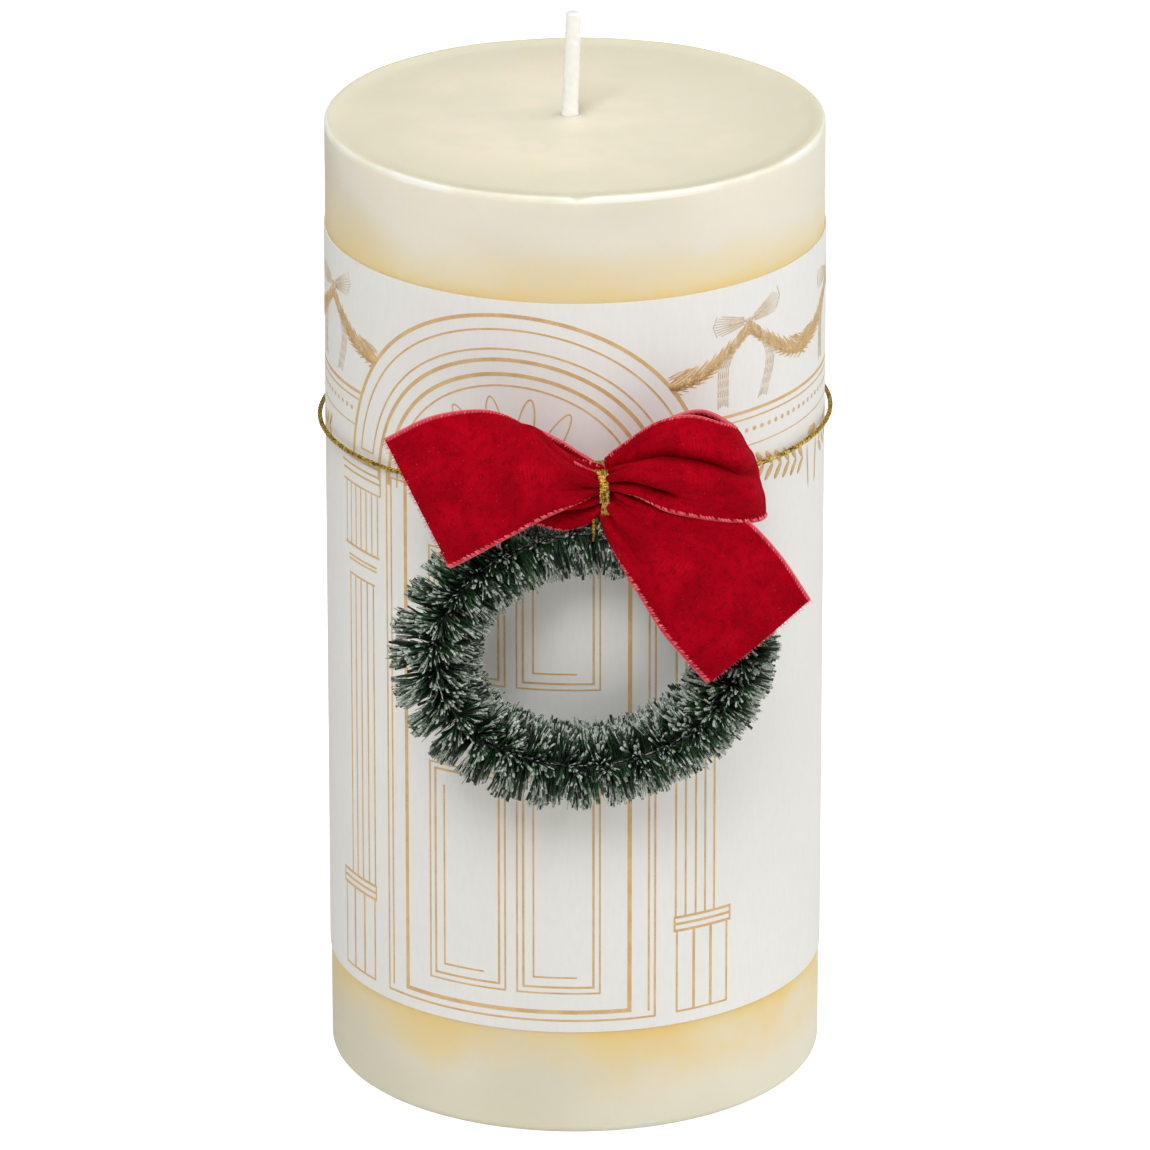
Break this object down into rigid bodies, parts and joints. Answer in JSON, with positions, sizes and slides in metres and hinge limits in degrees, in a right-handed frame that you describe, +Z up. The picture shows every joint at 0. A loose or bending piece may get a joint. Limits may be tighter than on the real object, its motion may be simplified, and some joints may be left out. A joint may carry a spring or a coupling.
{
  "type": "unity candle",
  "caption": "Pillar candle in a printed paper wrap, dressed with a velvet bow and a hanging brush wreath on a gold cord loop.",
  "frame": {"origin": "centre of the candle's base, on the surface it stands on", "axes": "+Z up along the candle to the wick; -Y towards the bow and the wreath; +X to the right seen from the bow"},
  "size_m": [0.0792, 0.0943, 0.1689],
  "materials": {
    "ivory_wax": "mottled ivory paraffin wax, faintly glossy",
    "waxed_cotton": "braided white cotton, stiff with wax",
    "tinplate": "stamped tinplate",
    "printed_paper": "matt white paper printed with gold line art",
    "gold_cord": "twisted metallic gold cord",
    "red_velvet": "deep red velvet ribbon with a paler merrowed edge",
    "core_wire": "twisted galvanised wire",
    "frosted_bristle": "dark green bristles with white frosted tips"
  },
  "bodies": {
    "candle": {"wax_pillar": "ivory_wax", "wick": "waxed_cotton", "wick_sustainer": "tinplate", "paper_wrap": "printed_paper"},
    "cord": {"gold_cord_loop": "gold_cord"},
    "bow": {"tie_wraps": "gold_cord", "velvet_ribbon": "red_velvet"},
    "hanger": {"wreath_hanger": "gold_cord"},
    "wreath": {"wreath_wire_a": "core_wire", "wreath_wire_b": "core_wire", "wreath_brush": "frosted_bristle"}
  },
  "joints": [
    {"name": "cord_slide", "type": "slide", "parent": "candle", "child": "cord", "axis": [0, 0, 1], "range_m": [-0.04, 0.07]},
    {"name": "bow_turn", "type": "hinge", "parent": "cord", "child": "bow", "pos_m": [0, 0, 0.1052], "axis": [0, 0, 1], "continuous": true},
    {"name": "wreath_swing", "type": "hinge", "parent": "bow", "child": "hanger", "pos_m": [-0.0028, -0.0451, 0.1045], "axis": [0, 1, 0], "range_deg": [-12, 12]},
    {"name": "wreath_lift", "type": "hinge", "parent": "hanger", "child": "wreath", "pos_m": [-0.0028, -0.0454, 0.1018], "axis": [-1, 0, 0], "range_deg": [0, 35], "deforming": ["velvet_ribbon"]}
  ]
}
